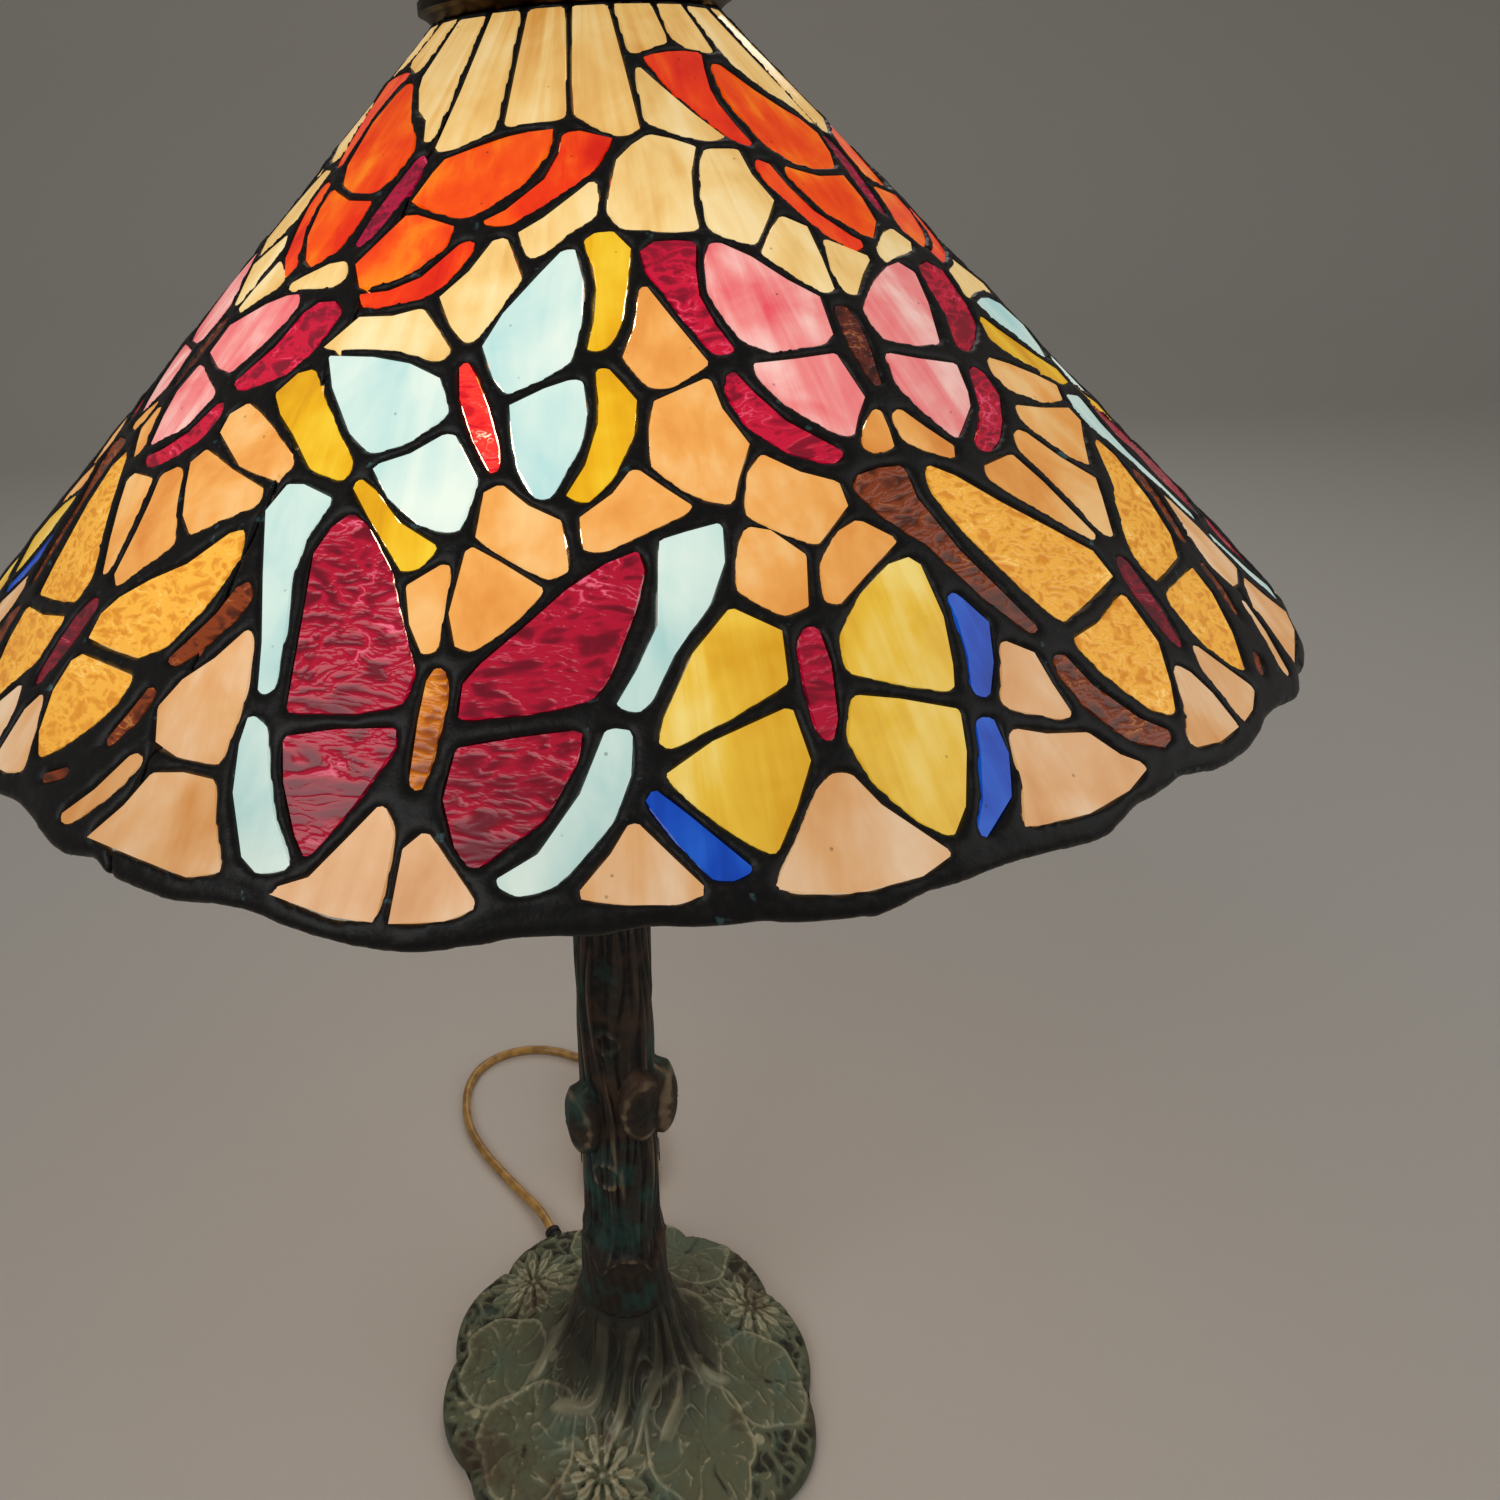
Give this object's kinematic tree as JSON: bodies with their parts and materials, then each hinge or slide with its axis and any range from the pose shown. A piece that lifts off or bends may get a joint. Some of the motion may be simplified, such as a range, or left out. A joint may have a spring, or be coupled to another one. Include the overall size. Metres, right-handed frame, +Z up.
{
  "type": "stained glass table lamp",
  "caption": "Table lamp with a conical leaded-glass shade of butterflies over two pull-chain sockets, on a cast tree-trunk stand with a round lily-pad base.",
  "frame": {"origin": "centre of the base on the table, on the lamp axis", "axes": "+Z up along the lamp axis, -Y towards the front of the lamp, +X to the viewer's right"},
  "size_m": [0.4588, 0.4721, 0.681],
  "materials": {
    "bronze_verdigris": "cast, verdigris patina with worn ridges",
    "bronze_dark": "cast, dark brown patina",
    "bronze_cap": "spun, dark bronze patina",
    "felt": "felt",
    "cast_iron": "as cast",
    "brass_aged": "aged",
    "brass_shell": "satin",
    "brass_blades": "bright",
    "steel_pipe": "zinc plated",
    "bushing_rubber": "moulded",
    "cord_gold": "gold vinyl over twin conductors",
    "plug_vinyl": "moulded vinyl",
    "phenolic": "moulded phenolic",
    "fibre_liner": "vulcanised fibre",
    "bulb_metal": "rolled",
    "bulb_glass": "frosted, lit",
    "lead_patina": "solder with black patina",
    "glass_crown_strips": "opalescent sheet",
    "glass_upper_field": "opalescent sheet",
    "glass_middle_field": "opalescent sheet",
    "glass_rim_field": "opalescent sheet",
    "glass_orange_wings": "streaky opalescent sheet",
    "glass_orange_edges": "streaky opalescent sheet",
    "glass_orange_bodies": "ripple cathedral sheet",
    "glass_blue_wings": "wispy opalescent sheet",
    "glass_blue_edges": "opalescent sheet",
    "glass_blue_bodies": "ripple cathedral sheet",
    "glass_pink_wings": "streaky opalescent sheet",
    "glass_pink_edges": "ripple cathedral sheet",
    "glass_pink_bodies": "ripple cathedral sheet",
    "glass_red_wings": "ripple cathedral sheet",
    "glass_red_edges": "wispy opalescent sheet",
    "glass_red_bodies": "ripple cathedral sheet",
    "glass_yellow_wings": "streaky opalescent sheet",
    "glass_yellow_edges": "streaky cathedral sheet",
    "glass_yellow_bodies": "ripple cathedral sheet",
    "glass_gold_wings": "fine ripple cathedral sheet",
    "glass_gold_edges": "ripple cathedral sheet",
    "glass_gold_bodies": "ripple cathedral sheet"
  },
  "bodies": {
    "stand": {"base_casting": "bronze_verdigris", "felt_pad": "felt", "ballast_ring": "cast_iron", "trunk_casting": "bronze_dark", "trunk_collar": "brass_aged", "centre_pipe": "steel_pipe", "lock_washer": "steel_pipe", "lock_nut": "steel_pipe", "cord_bushing": "bushing_rubber", "cord": "cord_gold", "cord_hank": "cord_gold", "plug_body": "plug_vinyl", "plug_blades": "brass_blades", "cluster_body": "brass_aged", "cluster_cap": "brass_aged", "socket_nipples": "steel_pipe", "riser_rod": "steel_pipe", "check_ring": "brass_aged", "socket_shell_front": "brass_shell", "socket_shell_back": "brass_shell", "socket_blocks": "phenolic", "socket_liners": "fibre_liner", "screw_shell_front": "brass_shell", "screw_shell_back": "brass_shell"},
    "seat": {"seat_washer": "brass_aged"},
    "finial": {"finial": "bronze_dark"},
    "bulb_front": {"bulb_base_front": "bulb_metal", "bulb_glass_front": "bulb_glass"},
    "bulb_back": {"bulb_base_back": "bulb_metal", "bulb_glass_back": "bulb_glass"},
    "chain_front": {"pull_chain_front": "brass_shell"},
    "chain_back": {"pull_chain_back": "brass_shell"},
    "shade": {"leading_front": "lead_patina", "leading_right": "lead_patina", "leading_back": "lead_patina", "leading_left": "lead_patina", "glass_crown_strips": "glass_crown_strips", "glass_upper_field": "glass_upper_field", "glass_middle_field": "glass_middle_field", "glass_rim_field": "glass_rim_field", "glass_orange_wings": "glass_orange_wings", "glass_orange_edges": "glass_orange_edges", "glass_orange_bodies": "glass_orange_bodies", "glass_blue_wings": "glass_blue_wings", "glass_blue_edges": "glass_blue_edges", "glass_blue_bodies": "glass_blue_bodies", "glass_pink_wings": "glass_pink_wings", "glass_pink_edges": "glass_pink_edges", "glass_pink_bodies": "glass_pink_bodies", "glass_red_wings": "glass_red_wings", "glass_red_edges": "glass_red_edges", "glass_red_bodies": "glass_red_bodies", "glass_yellow_wings": "glass_yellow_wings", "glass_yellow_edges": "glass_yellow_edges", "glass_yellow_bodies": "glass_yellow_bodies", "glass_gold_wings": "glass_gold_wings", "glass_gold_edges": "glass_gold_edges", "glass_gold_bodies": "glass_gold_bodies", "shade_cap": "bronze_cap", "crown_ring": "bronze_cap"}
  },
  "joints": [
    {"name": "shade_lift", "type": "slide", "parent": "stand", "child": "seat", "axis": [0, 0, 1], "range_m": [0, 0.22]},
    {"name": "shade_turn", "type": "hinge", "parent": "seat", "child": "shade", "pos_m": [0, 0, 0.64], "axis": [0, 0, 1], "continuous": true},
    {"name": "finial_turn", "type": "hinge", "parent": "seat", "child": "finial", "pos_m": [0, 0, 0.65], "axis": [0, 0, 1], "continuous": true},
    {"name": "bulb_front_turn", "type": "hinge", "parent": "stand", "child": "bulb_front", "pos_m": [0, 0, 0.497], "axis": [-0.2924, -0.9563, 0], "continuous": true},
    {"name": "bulb_back_turn", "type": "hinge", "parent": "stand", "child": "bulb_back", "pos_m": [0, 0, 0.497], "axis": [0.2924, 0.9563, 0], "continuous": true},
    {"name": "chain_front_pull", "type": "slide", "parent": "stand", "child": "chain_front", "axis": [0, 0, -1], "range_m": [0, 0.012], "stiffness_N_per_m": 60, "springref_m": -0.006},
    {"name": "chain_back_pull", "type": "slide", "parent": "stand", "child": "chain_back", "axis": [0, 0, -1], "range_m": [0, 0.012], "stiffness_N_per_m": 60, "springref_m": -0.006}
  ]
}
